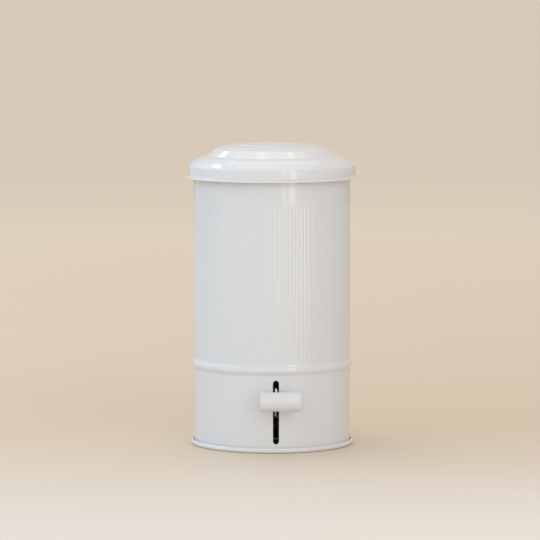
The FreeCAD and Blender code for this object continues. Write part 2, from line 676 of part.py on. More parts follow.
# The pedal's slot at the front, and the window at the rear that the lid's arm passes through.
slot_r = s.slot_width / 2
slot_front = -s.drum_r - s.overrun
slot_depth = s.overrun * 2 + s.sheet
slot_tools = [
    rod("slot_low_end", "Y", slot_r, slot_depth, ZERO, slot_front, s.slot_low + slot_r),
    rod("slot_high_end", "Y", slot_r, slot_depth, ZERO, slot_front, slot_high - slot_r),
    block("slot_middle", (-slot_r, slot_front, s.slot_low + slot_r),
          (slot_r, slot_front + slot_depth, slot_high - slot_r)),
]
window_tool = block("window_tool", (-s.window_half_width, drum_inner_r - s.overrun, window_low),
                    (s.window_half_width, s.drum_r + s.overrun, window_high))

# The hinge bracket: a curved plate on the drum with two ears that hold the hinge pin.
bracket_inner_r = s.drum_r + s.seat
bracket_outer_r = bracket_inner_r + s.arm_sheet
hinge = (hinge_y, hinge_z)
ear_inner = s.arm_half_width + s.side_play
ear_outer = ear_inner + s.arm_sheet
bracket_plate = curved_plate("bracket_plate", bracket_inner_r, s.arm_sheet, s.bracket_half_width,
                             bracket_low, bracket_high)
bracket_window = block("bracket_window", (-ear_inner, s.drum_r - s.overrun, window_low),
                       (ear_inner, bracket_outer_r + s.overrun, bracket_high + s.overrun))
ear_root = other_side(bracket_outer_r, ear_outer) - s.arm_sheet / 2
ear_corners = [
    (ear_root, hinge_z - 2 * s.hinge_hub_r),
    (hinge_y, hinge_z - s.hinge_hub_r),
    arc_to(hinge_y, hinge_z + s.hinge_hub_r, s.hinge_hub_r, hinge, 1),
    (ear_root, bracket_high - s.arm_sheet),
]
bracket_ears = []
for side, name in ((-1, "left"), (1, "right")):
    ear = pressed(f"bracket_ear_{name}", "YZ_Plane", ear_corners, s.arm_sheet,
                  [(hinge_y, hinge_z, s.hinge_pin_r + s.fixed)])
    bracket_ears.append(moved(ear, side * (ear_inner + s.arm_sheet / 2)))

bracket_rivets, bracket_holes = [], []
wall_angle = math.degrees(math.asin(s.bracket_rivet_x.value / s.drum_r.value))
for height, level in ((bracket_rivet_low, "low"), (bracket_rivet_high, "high")):
    for side, name in ((-1, "left"), (1, "right")):
        aim = FreeCAD.Rotation(FreeCAD.Vector(0, 0, 1), -side * wall_angle) * ALONG["Y"]
        share_x = side * s.bracket_rivet_x / s.drum_r
        share_y = other_side(s.drum_r, s.bracket_rivet_x) / s.drum_r
        head_seat_r = other_side(drum_inner_r, s.rivet_head_r) - s.seat
        grip = bracket_outer_r - head_seat_r
        pin = rivet(f"bracket_rivet_{level}_{name}", "Y", grip)
        hole = rod(f"bracket_hole_{level}_{name}", "Y", s.rivet_r + s.fixed, grip + 2 * s.overrun)
        for thing, start_r in ((pin, head_seat_r), (hole, head_seat_r - s.overrun)):
            thing.Placement = FreeCAD.Placement(FreeCAD.Vector(), aim)
            moved(thing, start_r * share_x, start_r * share_y, height)
        bracket_rivets.append(pin)
        bracket_holes.append(hole)
bracket_hole_set = fused("bracket_hole_set", *bracket_holes)
keep("hinge_bracket", cut("hinge_bracket", fused("bracket_blank", bracket_plate, *bracket_ears),
                          bracket_window, bracket_hole_set))
keep("hinge_bracket_rivets", together("hinge_bracket_rivets", bracket_rivets))
drum_cleared = cut("drum_cleared", drum_wall, flute_room)
keep("outer_drum", cut("outer_drum", fused("drum_blank", drum_cleared, flute_band),
                       *slot_tools, window_tool, bracket_hole_set))
keep("hinge_pin", headed_pin("hinge_pin", s.hinge_pin_r, -ear_outer, ear_outer, hinge_y, hinge_z))
keep("hinge_pin_cap", pin_cap("hinge_pin_cap", s.hinge_pin_r, ear_outer, hinge_y, hinge_z))

# Rubber clips on the drum's rim keep the closing lid quiet.
bumper_out = rim_centre[0] + s.drum_roll_r + s.bumper_wall
bumper_in = drum_inner_r - s.bumper_wall
bumper_low = s.drum_top - s.bumper_drop
groove_r = s.drum_roll_r + s.seat
bumper_corners = [
    (bumper_in, bumper_low),
    (drum_inner_r - s.seat, bumper_low),
    (drum_inner_r - s.seat, rim_centre[1]),
    arc_to(s.drum_r + s.seat, rim_centre[1] - other_side(groove_r, rim_centre[0] - s.drum_r - s.seat),
           groove_r, rim_centre, -1),
    (s.drum_r + s.seat, bumper_low),
    (s.drum_r + s.seat + s.bumper_wall, bumper_low),
    (bumper_out, rim_centre[1] - s.drum_roll_r),
    (bumper_out, rim_centre[1]),
    (rim_centre[0], s.drum_top + s.bumper_cap),
    (bumper_in + s.bumper_wall, s.drum_top + s.bumper_cap),
    (bumper_in, rim_centre[1] + s.bumper_wall),
]
bumpers = []
for number, angle in enumerate((-150.0, -30.0, 60.0, 120.0)):
    bumper = revolved(f"bumper_{number}", bumper_corners)
    bumper.Tip.Midplane = True
    bind(bumper.Tip, "Angle", s.bumper_angle)
    bumpers.append(turned(bumper, angle))
keep("rim_bumpers", together("rim_bumpers", bumpers))

# The lid's shell is one pressing: crown, two ridges, shoulder, skirt and a lip with a rolled edge.
lip_centre = (lid_lip_r - s.lid_lip_roll_r, lid_lip_low + s.lid_lip_roll_r)
lip_top = lip_centre[1] + s.lid_lip_roll_r - s.lid_lip_crest
lip_under = lip_top - s.sheet
lip_meet = lip_centre[0] - other_side(s.lid_lip_roll_r, lip_top - lip_centre[1])
lip_under_meet = lip_centre[0] - other_side(s.lid_lip_roll_r, lip_under - lip_centre[1])
skirt_inner_r = lid_skirt_r - s.sheet
lid_rings = [
    (lid_shoulder_r, lid_shoulder_z),
    (lid_bend_r, lid_bend_z),
    (lid_ridge_two_r, lid_ridge_two_z),
    (lid_valley_r, lid_valley_z),
    (lid_ridge_one_r, lid_ridge_one_z),
    (lid_terrace_r, lid_terrace_z),
    (lid_crown_r, lid_crown_z),
    (lid_disc_r + s.lid_disc_step, lid_disc_z - s.lid_disc_step),
    (lid_disc_r, lid_disc_z),
]
slope_in, slope_up = lid_shoulder_r - lid_bend_r, lid_bend_z - lid_shoulder_z
slope = root(slope_in * slope_in + slope_up * slope_up)
sheet_in, sheet_down = s.sheet * slope_up / slope, s.sheet * slope_in / slope
lid_inner_rings = [(radius, height - s.sheet) for radius, height in lid_rings[2:]]
lid_body = revolved("lid_body", [
    (skirt_inner_r, lid_skirt_low - s.sheet),
    (lip_under_meet, lip_under),
    arc_to(lip_meet, lip_top, s.lid_lip_roll_r, lip_centre, 1),
    (lid_skirt_r, lid_skirt_low),
    *lid_rings,
    (ZERO, lid_disc_z),
    (ZERO, lid_disc_z - s.sheet),
    *reversed(lid_inner_rings),
    (lid_bend_r - sheet_in, lid_bend_z - sheet_down),
    (lid_shoulder_r - s.sheet, lid_shoulder_z - sheet_down),
])
doc.recompute()


def rings_at(shape, places):
    """The names of the round edges with the given radii and heights."""
    near = 0.01
    return [f"Edge{number}" for number, edge in enumerate(shape.Edges, start=1)
            if isinstance(edge.Curve, Part.Circle)
            and any(abs(edge.Curve.Radius - radius.value) < near
                    and abs(edge.Curve.Center.z - height.value) < near
                    for radius, height in places)]


def rounded(body, places, radius):
    """Rounds a turned piece along some of its rings."""
    base = body.Tip
    fillet = body.newObject("PartDesign::Fillet", "Round")
    fillet.Base = (base, rings_at(base.Shape, places))
    bind(fillet, "Radius", radius)
    body.Tip = fillet
    doc.recompute()


rounded(lid_body, [lid_rings[0]], s.lid_shoulder_round)
rounded(lid_body, [(lid_skirt_r, lid_skirt_low)], s.lid_skirt_round)
rounded(lid_body, lid_rings[2:7], s.lid_ridge_round)

# The lid's arm: a channel of strip whose web is riveted inside the skirt and whose cheeks
# turn on the hinge pin and carry the lift pin inside the drum.
web_face = other_side(skirt_inner_r, s.arm_half_width) - s.seat
cheek_middle = s.arm_half_width - s.arm_sheet / 2
neck_corners = [
    (arm_neck, arm_top),
    (arm_neck, hinge_z),
    (hinge_y, hinge_z),
    (hinge_y + s.hinge_hub_r, hinge_z),
    (web_face, lid_lip_low - s.seat),
    (web_face, arm_top),
]
lift_corners = link_corners(hinge, s.hinge_hub_r, lift_pin, s.lift_hub_r)
arm_pieces = [block("arm_web", (-s.arm_half_width, web_face - s.arm_sheet, lid_lip_low - s.seat),
                    (s.arm_half_width, web_face, arm_top))]
arm_bores = []
for side, name in ((-1, "left"), (1, "right")):
    middle = side * cheek_middle
    start = middle - s.arm_sheet / 2
    arm_pieces.append(moved(pressed(f"arm_neck_{name}", "YZ_Plane", neck_corners, s.arm_sheet), middle))
    arm_pieces.append(moved(pressed(f"arm_link_{name}", "YZ_Plane", lift_corners, s.arm_sheet), middle))
    arm_pieces.append(rod(f"arm_hub_{name}", "X", s.hinge_hub_r, s.arm_sheet, start, *hinge))
    arm_pieces.append(rod(f"arm_tip_{name}", "X", s.lift_hub_r, s.arm_sheet, start, *lift_pin))
arm_width = 2 * (s.arm_half_width + s.overrun)
arm_bores.append(rod("arm_hinge_bore", "X", s.hinge_pin_r + s.running, arm_width,
                     -arm_width / 2, *hinge))
arm_bores.append(rod("arm_lift_bore", "X", s.lift_pin_r + s.fixed, arm_width, -arm_width / 2, *lift_pin))

lid_rivets, lid_rivet_holes = [], []
web_inner = web_face - s.arm_sheet
skirt_lean = s.lid_skirt_lean / s.lid_skirt_height
widest = lid_skirt_r + skirt_lean * (lid_rivet_z + s.lid_rivet_head_r - lid_skirt_low)
grip = widest - web_inner
for side, name in ((-1, "left"), (1, "right")):
    place = side * s.lid_rivet_x
    lid_rivets.append(rivet(f"lid_rivet_{name}", "Y", grip, place, web_inner, lid_rivet_z,
                            s.lid_rivet_head_r))
    lid_rivet_holes.append(rod(f"lid_rivet_hole_{name}", "Y", s.rivet_r + s.fixed, grip + 2 * s.overrun,
                               place, web_inner - s.overrun, lid_rivet_z))
lid_hole_set = fused("lid_hole_set", *lid_rivet_holes)
keep("lid_arm", cut("lid_arm", fused("arm_blank", *arm_pieces), *arm_bores, lid_hole_set))
keep("lid_arm_rivets", together("lid_arm_rivets", lid_rivets))
keep("lid_shell", cut("lid_shell", lid_body, lid_hole_set))
lift_start = -s.arm_half_width
keep("lift_pin", headed_pin("lift_pin", s.lift_pin_r, lift_start, s.arm_half_width, *lift_pin))
keep("lift_pin_cap", pin_cap("lift_pin_cap", s.lift_pin_r, s.arm_half_width, *lift_pin))

# The false floor closes off the mechanism. Its edge is held in the bead, and the bucket
# stands in its recess.
shelf_top = bead_z + s.sheet / 2
shelf_low = shelf_top - s.sheet
bucket_foot = shelf_top - s.shelf_recess
shelf_blank = revolved("shelf_blank", [
    (ZERO, bucket_foot - s.sheet),
    (shelf_recess_r, bucket_foot - s.sheet),
    (shelf_recess_r + s.shelf_recess, shelf_low),
    (shelf_r, shelf_low),
    (shelf_r, shelf_top),
    (shelf_recess_r + s.shelf_recess, shelf_top),
    (shelf_recess_r, bucket_foot),
    (ZERO, bucket_foot),
])

# The lift rod's place: beside the lever, where its eyes meet both pins.
rod_start_x = s.lever_sheet / 2 + s.rod_gap
rod_stop_x = rod_start_x + s.rod_sheet
rod_middle_x = rod_start_x + s.rod_sheet / 2
lower_eye_y = rod_pin[0] + lower_slide


def eye_plate(label, middle_y, middle_z, half_length, radius, thickness):
    """A flat piece with two round ends, in the lift rod's plane."""
    front, back = middle_y - half_length, middle_y + half_length
    start = rod_middle_x - thickness / 2
    return fused(label,
                 rod(label + "_front", "X", radius, thickness, start, front, middle_z),
                 rod(label + "_back", "X", radius, thickness, start, back, middle_z),
                 block(label + "_middle", (start, front, middle_z - radius),
                       (start + thickness, back, middle_z + radius)))


upper_hole_r = s.lift_pin_r + s.upper_eye_play
lower_hole_r = s.rod_pin_r + s.lower_eye_play
eye_cut = s.rod_sheet + 2 * s.overrun
rod_half = s.rod_width / 2
keep("lift_rod", cut(
    "lift_rod",
    fused("rod_blank",
          block("rod_strip", (rod_start_x, rod_y - rod_half, rod_pin[1]),
                (rod_stop_x, rod_y + rod_half, lift_pin[1])),
          eye_plate("upper_eye", rod_y, lift_pin[1], upper_slide, upper_hole_r + s.eye_wall, s.rod_sheet),
          eye_plate("lower_eye", lower_eye_y, rod_pin[1], lower_slide,
                    lower_hole_r + s.eye_wall, s.rod_sheet)),
    eye_plate("upper_eye_cut", rod_y, lift_pin[1], upper_slide, upper_hole_r, eye_cut),
    eye_plate("lower_eye_cut", lower_eye_y, rod_pin[1], lower_slide, lower_hole_r, eye_cut)))

notch = s.shelf_notch_margin
shelf_notch = block("shelf_notch", (rod_start_x - notch, rod_y - rod_half - notch, shelf_low - s.overrun),
                    (rod_stop_x + notch, rod_y + rod_half + notch / 2, shelf_top + s.overrun))
keep("false_floor", cut("false_floor", shelf_blank, shelf_notch))

# Two guides on the drum's rear wall keep the lift rod upright.
for name, height in (("upper_rod_guide", upper_guide_z), ("lower_rod_guide", lower_guide_z)):
    flange_r = drum_inner_r - s.seat - s.arm_sheet
    flange = curved_plate(name + "_flange", flange_r, s.arm_sheet, s.guide_reach + rod_stop_x,
                          height, height + s.guide_flange)
    tab = block(name + "_tab",
                (rod_start_x - s.guide_reach, rod_y - rod_half - s.guide_play - s.guide_border, height),
                (rod_stop_x + s.guide_reach, flange_r, height + s.arm_sheet))
    passage = block(name + "_passage",
                    (rod_start_x - s.guide_play, rod_y - rod_half - s.guide_play, height - s.overrun),
                    (rod_stop_x + s.guide_play, rod_y + rod_half + s.guide_play,
                     height + s.guide_flange + s.overrun))
    keep(name, cut(name, fused(name + "_blank", flange, tab), passage))

# The pedal's lever: one plate from the crossbar, through the slot, over the pivot to the lift rod.
crossbar = (-crossbar_y, s.crossbar_z)
pivot = (pivot_y, s.pivot_z)
sleeve_back = s.sleeve_r + s.rod_gap - crossbar_y
lever_plate = pressed("lever_plate", "YZ_Plane", [
    (crossbar[0], s.crossbar_z - s.crossbar_eye_r),
    (sleeve_back, s.crossbar_z - s.lever_nose),
    (-s.drum_r - s.overrun, lever_low),
    (s.overrun - s.drum_r + s.overrun, lever_low),
    (-lever_heel_y, lever_heel_z),
    (pivot_y - s.lever_hub_r / 2, s.pivot_z - s.lever_hub_r),
    (pivot_y, s.pivot_z),
    (pivot_y, s.pivot_z + s.lever_hub_r),
    (s.lever_hub_r - lever_heel_y, lever_high),
    (-s.drum_r - s.overrun, lever_high),
    (sleeve_back, s.crossbar_z + s.lever_nose),
    (crossbar[0], s.crossbar_z + s.crossbar_eye_r),
], s.lever_sheet)
lever_link = pressed("lever_link", "YZ_Plane", link_corners(pivot, s.lever_hub_r, rod_pin, s.rod_pin_hub_r),
                     s.lever_sheet)
half_lever = s.lever_sheet / 2
lever_cut = s.lever_sheet + 2 * s.overrun
lever_side = -half_lever - s.overrun
keep("pedal_lever", cut(
    "pedal_lever",
    fused("lever_blank", lever_plate, lever_link,
          rod("lever_eye", "X", s.crossbar_eye_r, s.lever_sheet, -half_lever, *crossbar),
          rod("lever_hub", "X", s.lever_hub_r, s.lever_sheet, -half_lever, *pivot),
          rod("lever_tail", "X", s.rod_pin_hub_r, s.lever_sheet, -half_lever, *rod_pin)),
    rod("lever_bar_bore", "X", s.crossbar_r + s.fixed, lever_cut, lever_side, *crossbar),
    rod("lever_bush_bore", "X", s.bush_r + s.fixed, lever_cut, lever_side, *pivot),
    rod("lever_tail_bore", "X", s.rod_pin_r + s.fixed, lever_cut, lever_side, *rod_pin)))
bush_start = -s.bush_length / 2
keep("lever_bush", cut(
    "lever_bush",
    rod("bush_blank", "X", s.bush_r, s.bush_length, bush_start, *pivot),
    rod("bush_bore", "X", s.pivot_pin_r + s.running, s.bush_length + 2 * s.overrun,
        bush_start - s.overrun, *pivot)))
keep("pedal_crossbar", rod("pedal_crossbar", "X", s.crossbar_r, s.crossbar_length,
                           s.crossbar_shift - s.crossbar_length / 2, *crossbar))

# The white sleeve on the crossbar, slit at the rear for the lever's nose: the nose goes in
# first, and then the bar is pushed through both.
sleeve_start = s.crossbar_shift - s.sleeve_length / 2
sleeve_blank = doc.addObject("Part::Fillet", "sleeve_blank")
sleeve_tube = rod("sleeve_tube", "X", s.sleeve_r, s.sleeve_length, sleeve_start, *crossbar)
sleeve_blank.Base = sleeve_tube
doc.recompute()
sleeve_blank.Edges = [(number, s.sleeve_edge.value, s.sleeve_edge.value)
                      for number, edge in enumerate(sleeve_tube.Shape.Edges, start=1)
                      if isinstance(edge.Curve, Part.Circle)]
slit_half = half_lever + s.guide_play
keep("pedal_sleeve", cut(
    "pedal_sleeve", sleeve_blank,
    rod("sleeve_relief", "X", s.crossbar_eye_r + s.guide_play, 2 * slit_half, -slit_half, *crossbar),
    rod("sleeve_bore", "X", s.crossbar_r + s.seat, s.sleeve_length + 2 * s.overrun,
        sleeve_start - s.overrun, *crossbar),
    block("sleeve_slit", (-slit_half, crossbar[0], s.crossbar_z - s.lever_nose - s.guide_play),
          (slit_half, s.overrun - crossbar_y + s.sleeve_r, s.crossbar_z + s.lever_nose + s.guide_play))))

# The bracket on the dish that carries the pedal's pivot pin.
pivot_ear_inner = s.bush_length / 2 + s.side_play / 2
pivot_ear_outer = pivot_ear_inner + s.arm_sheet
half_web = s.pivot_bracket_length / 2
pivot_ears = []
for side, name in ((-1, "left"), (1, "right")):
    ear = pressed(f"pivot_ear_{name}", "YZ_Plane", [
        (pivot_y - half_web, dish_floor),
        (pivot_y + half_web, dish_floor),
        (pivot_y + half_web, dish_floor + 2 * s.arm_sheet),
        (pivot_y + s.pivot_ear_r, s.pivot_z),
        arc_to(pivot_y - s.pivot_ear_r, s.pivot_z, s.pivot_ear_r, pivot, 1),
        (pivot_y - half_web, dish_floor + 2 * s.arm_sheet),
    ], s.arm_sheet, [(pivot_y, s.pivot_z, s.pivot_pin_r + s.fixed)])
    pivot_ears.append(moved(ear, side * (pivot_ear_inner + s.arm_sheet / 2)))
pivot_web = block("pivot_web", (-pivot_ear_outer, pivot_y - half_web, dish_floor),
                  (pivot_ear_outer, pivot_y + half_web, dish_floor + s.arm_sheet))
keep("pivot_bracket", cut("pivot_bracket", fused("pivot_blank", pivot_web, *pivot_ears), pivot_holes))
keep("pivot_pin", headed_pin("pivot_pin", s.pivot_pin_r, -pivot_ear_outer, pivot_ear_outer, *pivot))
keep("pivot_pin_cap", pin_cap("pivot_pin_cap", s.pivot_pin_r, pivot_ear_outer, *pivot))
rod_pin_stop = rod_stop_x + s.rod_gap
keep("rod_pin", headed_pin("rod_pin", s.rod_pin_r, -half_lever, rod_pin_stop, *rod_pin))
keep("rod_pin_cap", pin_cap("rod_pin_cap", s.rod_pin_r, rod_pin_stop, *rod_pin))

# The bucket: a moulded, tapered cup with a turned down rim and two ears.
inner_foot_r = bucket_foot_r - s.bucket_wall
bucket_cup = revolved("bucket_cup", [
    (ZERO, bucket_foot),
    (bucket_foot_r - s.bucket_foot_bevel, bucket_foot),
    (bucket_foot_r, bucket_foot + s.bucket_foot_bevel),
    (bucket_top_r, bucket_top - s.bucket_wall),
    (bucket_rim_r - s.bucket_wall, bucket_top - s.bucket_wall),
    (bucket_rim_r - s.bucket_wall, bucket_top - s.bucket_rim_drop),
    (bucket_rim_r, bucket_top - s.bucket_rim_drop),
    (bucket_rim_r, bucket_top),
    (bucket_top_r - s.bucket_wall, bucket_top),
    (inner_foot_r, bucket_foot + s.bucket_foot_bevel),
    (inner_foot_r - s.bucket_foot_bevel + s.bucket_wall / 2, bucket_foot + s.bucket_wall),
    (ZERO, bucket_foot + s.bucket_wall),
])
bail_pivot_z = bucket_top + s.ear_height
ear_pieces, ear_bores = [], []
for side, name in ((-1, "left"), (1, "right")):
    lug = pressed(f"bucket_lug_{name}", "YZ_Plane", [
        (-s.ear_half_width, bucket_top - s.bucket_rim_drop),
        (s.ear_half_width, bucket_top - s.bucket_rim_drop),
        (s.ear_half_width, bail_pivot_z),
        arc_to(-s.ear_half_width, bail_pivot_z, s.ear_half_width, (ZERO, bail_pivot_z), 1),
    ], s.ear_thickness)
    ear_pieces.append(moved(lug, side * (ear_inner_x + s.ear_thickness / 2)))
    foot_low = (bucket_top_r, -s.ear_half_width, bucket_top - s.bucket_rim_drop)
    foot_high = (ear_outer_x, s.ear_half_width, bucket_top)
    if side < 0:
        foot_low, foot_high = (-foot_high[0], *foot_low[1:]), (-foot_low[0], *foot_high[1:])
    ear_pieces.append(block(f"bucket_lug_foot_{name}", foot_low, foot_high))
    ear_bores.append(rod(f"bucket_ear_bore_{name}", "X", s.bail_wire_r + s.running,
                         s.ear_thickness + 2 * s.overrun,
                         side * (ear_inner_x + s.ear_thickness / 2) - s.ear_thickness / 2 - s.overrun,
                         ZERO, bail_pivot_z))
keep("inner_bucket", cut("inner_bucket", fused("bucket_blank", bucket_cup, *ear_pieces), *ear_bores))

# The bail: a wire bow with its ends bent outwards into the ears. At rest its front lies on the rim.
bow_reach = s.bail_bend_r + bail_r
bend_x = bail_r + s.bail_bend_r
droop = (s.ear_height - s.bail_wire_r - s.bail_gap) / bow_reach
bail_body = doc.addObject("PartDesign::Body", "bail_body")


def bail_path(body):
    """The wire's middle line: end, bend, bow, bend, end."""
    sketch = body.newObject("Sketcher::SketchObject", "Line")
    sketch.AttachmentSupport = [(origin_plane(body, "XY_Plane"), "")]
    sketch.MapMode = "FlatFace"
    up = FreeCAD.Vector(0, 0, 1)
    end, bend, bow, radius = bail_end_x.value, bend_x.value, bail_r.value, s.bail_bend_r.value
    left_bend = Part.Circle(FreeCAD.Vector(-bend, -radius, 0), up, radius)
    right_bend = Part.Circle(FreeCAD.Vector(bend, -radius, 0), up, radius)
    bow_circle = Part.Circle(FreeCAD.Vector(0, -radius, 0), up, bow)
    sketch.addGeometry([
        Part.LineSegment(FreeCAD.Vector(-end, 0, 0), FreeCAD.Vector(-bend, 0, 0)),
        Part.ArcOfCircle(left_bend, 0, math.pi / 2),
        Part.ArcOfCircle(bow_circle, math.pi, 2 * math.pi),
        Part.ArcOfCircle(right_bend, math.pi / 2, math.pi),
        Part.LineSegment(FreeCAD.Vector(bend, 0, 0), FreeCAD.Vector(end, 0, 0)),
    ], False)
    sketch.addConstraint([
        Sketcher.Constraint("PointOnObject", 0, 1, -1),
        Sketcher.Constraint("Horizontal", 0),
        Sketcher.Constraint("Tangent", 0, 2, 1, 2),
        Sketcher.Constraint("Tangent", 1, 1, 2, 1),
        Sketcher.Constraint("Tangent", 2, 2, 3, 2),
        Sketcher.Constraint("Tangent", 3, 1, 4, 1),
        Sketcher.Constraint("Equal", 1, 3),
        Sketcher.Constraint("Equal", 0, 4),
        Sketcher.Constraint("PointOnObject", 2, 3, -2),
        Sketcher.Constraint("Radius", 2, bow),
        Sketcher.Constraint("Radius", 1, radius),
        Sketcher.Constraint("DistanceX", 0, 1, -1, 1, end),
    ])
    for order, name, size in ((9, "bow", bail_r), (10, "bend", s.bail_bend_r), (11, "end", bail_end_x)):
        sketch.renameConstraint(order, name)
        bind(sketch, f"Constraints.{name}", size)
    return sketch


bail_line = bail_path(bail_body)
wire_round = bail_body.newObject("Sketcher::SketchObject", "Wire")
wire_round.AttachmentSupport = [(origin_plane(bail_body, "YZ_Plane"), "")]
wire_round.MapMode = "FlatFace"
bind(wire_round, "AttachmentOffset.Base.z", -bail_end_x)
wire_round.addGeometry(Part.Circle(FreeCAD.Vector(), FreeCAD.Vector(0, 0, 1), s.bail_wire_r.value), False)
wire_round.addConstraint([Sketcher.Constraint("Coincident", 0, 3, -1, 1),
                          Sketcher.Constraint("Radius", 0, s.bail_wire_r.value)])
wire_round.renameConstraint(1, "wire")
bind(wire_round, "Constraints.wire", s.bail_wire_r)
doc.recompute()
bail_pipe = bail_body.newObject("PartDesign::AdditivePipe", "Bow")
bail_pipe.Profile = wire_round
bail_pipe.Spine = (bail_line, [f"Edge{number}" for number in range(1, 6)])
bail_body.Tip = bail_pipe
droop_angle = math.degrees(math.asin(droop.value))
bail_tilt = FreeCAD.Rotation(FreeCAD.Vector(1, 0, 0), droop_angle)
bail_body.Placement = FreeCAD.Placement(FreeCAD.Vector(), bail_tilt)
keep("bucket_bail", moved(bail_body, up=bail_pivot_z))

# Everything is worked out, tested and written.
doc.recompute()
faults = [thing.Label for thing in doc.Objects if {"Invalid", "Error"} & set(thing.State)]
faults += [name for name, thing in nodes.items() if thing.Shape.isNull() or not thing.Shape.isValid()]
if faults:
    raise RuntimeError("these did not come out: " + ", ".join(faults))
os.makedirs("parts", exist_ok=True)
for name, thing in nodes.items():
    shape = thing.Shape
    shape.exportStep(f"parts/{name}.step")
    box = shape.optimalBoundingBox()
    print(f"{name}: {len(shape.Solids)} solid(s), {shape.Volume:.1f} mm3, "
          f"x {box.XMin:.1f}..{box.XMax:.1f}, y {box.YMin:.1f}..{box.YMax:.1f}, "
          f"z {box.ZMin:.1f}..{box.ZMax:.1f}")
print("lift pin", [round(size.value, 3) for size in lift_pin])
print("rod pin", [round(size.value, 3) for size in rod_pin])
print("rod at y", round(rod_y.value, 3), "lower eye at y", round(lower_eye_y.value, 3))
print("droop of the bail, degrees", round(droop_angle, 3))
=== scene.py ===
# %% [markdown]
# # A white pedal bin
# This lesson dresses a packed metal model of a round pedal bin. Its solids already have the
# right sizes, so Blender adds what solids can't hold: enamel, zinc, moulded plastic and
# rubber, the light of a room and a camera. Lengths are in metres, +Z is up, and the pedal
# is at the front, on -Y.

# %% Load the metal model
import json
import math

import bpy
from mathutils import Matrix, Vector

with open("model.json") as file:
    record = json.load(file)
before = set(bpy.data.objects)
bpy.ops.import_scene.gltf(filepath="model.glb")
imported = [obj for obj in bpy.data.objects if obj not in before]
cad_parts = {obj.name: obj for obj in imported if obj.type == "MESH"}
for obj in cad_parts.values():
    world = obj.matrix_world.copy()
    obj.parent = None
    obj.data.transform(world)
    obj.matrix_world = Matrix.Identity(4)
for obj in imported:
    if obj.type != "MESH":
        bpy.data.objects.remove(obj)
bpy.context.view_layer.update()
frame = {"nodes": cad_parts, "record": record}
nodes = frame["nodes"]

# %% [markdown]
# ## Where the camera stands
# The real picture was taken from four metres away with a long lens, a little over the lid,
# and a few degrees to the left of the pedal. A long lens keeps the bin's sides upright. The
# camera's own axes are worked out here and given to it as one matrix: that is exact, while
# a constraint that tracks a point leaves the roll to chance.

# %% Build the camera
CAMERA_DISTANCE = 4.0
CAMERA_HEIGHT = 0.5652
CAMERA_TURN = math.radians(-2.8)
CAMERA_SIDE = -0.0022
CAMERA_PITCH = 0.0910
CAMERA_ROLL = -0.0010
PICTURE_WIDTH = 540
FOCAL_PIXELS = 3486.5
SENSOR_WIDTH_MM = 36


def camera_matrix():
    """The camera's place and axes, from its distance, height, turn, pitch and roll."""
    level = Matrix.Rotation(CAMERA_TURN, 3, "Z")
    right = level @ Vector((1, 0, 0))
    forward = level @ Vector((0, math.cos(CAMERA_PITCH), -math.sin(CAMERA_PITCH)))
    up = level @ Vector((0, math.sin(CAMERA_PITCH), math.cos(CAMERA_PITCH)))
    leaning_right = right * math.cos(CAMERA_ROLL) + up * math.sin(CAMERA_ROLL)
    leaning_up = up * math.cos(CAMERA_ROLL) - right * math.sin(CAMERA_ROLL)
    axes = Matrix((leaning_right, leaning_up, -forward)).transposed()
    place = level @ Vector((CAMERA_SIDE, -CAMERA_DISTANCE, CAMERA_HEIGHT))
    return Matrix.Translation(place) @ axes.to_4x4()


camera_data = bpy.data.cameras.new("bin_camera")
camera_data.sensor_width = SENSOR_WIDTH_MM
camera_data.lens = FOCAL_PIXELS / PICTURE_WIDTH * SENSOR_WIDTH_MM
camera = bpy.data.objects.new("bin_camera", camera_data)
bpy.context.scene.collection.objects.link(camera)
camera.matrix_world = camera_matrix()
bpy.context.scene.camera = camera
print("lens:", round(camera_data.lens, 1), "mm, at", [round(v, 3) for v in camera.location])

# %% [markdown]
# ## The floor
# The bin stands on a smooth pale floor. One large flat disc is enough: it runs on behind the
# bin and fills the picture, so no edge shows. It is a stage, not a part of the bin.

# %% Lay the floor
FLOOR_RADIUS = 30.0
FLOOR_SIDES = 96


def new_mesh_object(name, points, faces):
    """A new object from points and faces."""
    mesh = bpy.data.meshes.new(name)
    mesh.from_pydata(points, [], faces)
    mesh.update()
    made = bpy.data.objects.new(name, mesh)
    bpy.context.scene.collection.objects.link(made)
    return made


def circle_points(radius, count):
    """Points around a circle that lies flat at height zero."""
    angles = [2 * math.pi * k / count for k in range(count)]
    return [(radius * math.cos(angle), radius * math.sin(angle), 0.0) for angle in angles]


floor = new_mesh_object("floor", circle_points(FLOOR_RADIUS, FLOOR_SIDES), [range(FLOOR_SIDES)])
print("floor:", FLOOR_RADIUS, "m in radius")

# %% [markdown]
# ## Writing materials as node trees
# A finish is a small tree of nodes. A few helpers keep the cells that follow short: each
# adds a node or two, fills in their sockets and hands back the socket to go on from.

# %% Node helpers
def new_finish(name):
    """A material with one Principled shader, and what is needed to add to it."""
    finish = bpy.data.materials.new(name)
    finish.use_nodes = True
    return finish, finish.node_tree, finish.node_tree.nodes["Principled BSDF"]


def add_node(tree, kind, **sockets):
    """A node of that kind, with the named sockets filled in. Underscores stand for spaces."""
    node = tree.nodes.new(kind)
    for name, value in sockets.items():
        node.inputs[name.replace("_", " ")].default_value = value
    return node


def place_in_metres(tree, stretch=(1, 1, 1)):
    """Coordinates on the piece in metres, stretched to draw out a pattern."""
    source = tree.nodes.new("ShaderNodeTexCoord")
    scale = add_node(tree, "ShaderNodeMapping", Scale=stretch)
    tree.links.new(source.outputs["Object"], scale.inputs["Vector"])
    return scale.outputs["Vector"]


def noise(tree, place, scale, detail=3.0):
    """Soft random patches. A larger scale makes smaller patches."""
    node = add_node(tree, "ShaderNodeTexNoise", Scale=scale, Detail=detail)
    tree.links.new(place, node.inputs["Vector"])
    return node.outputs["Fac"]


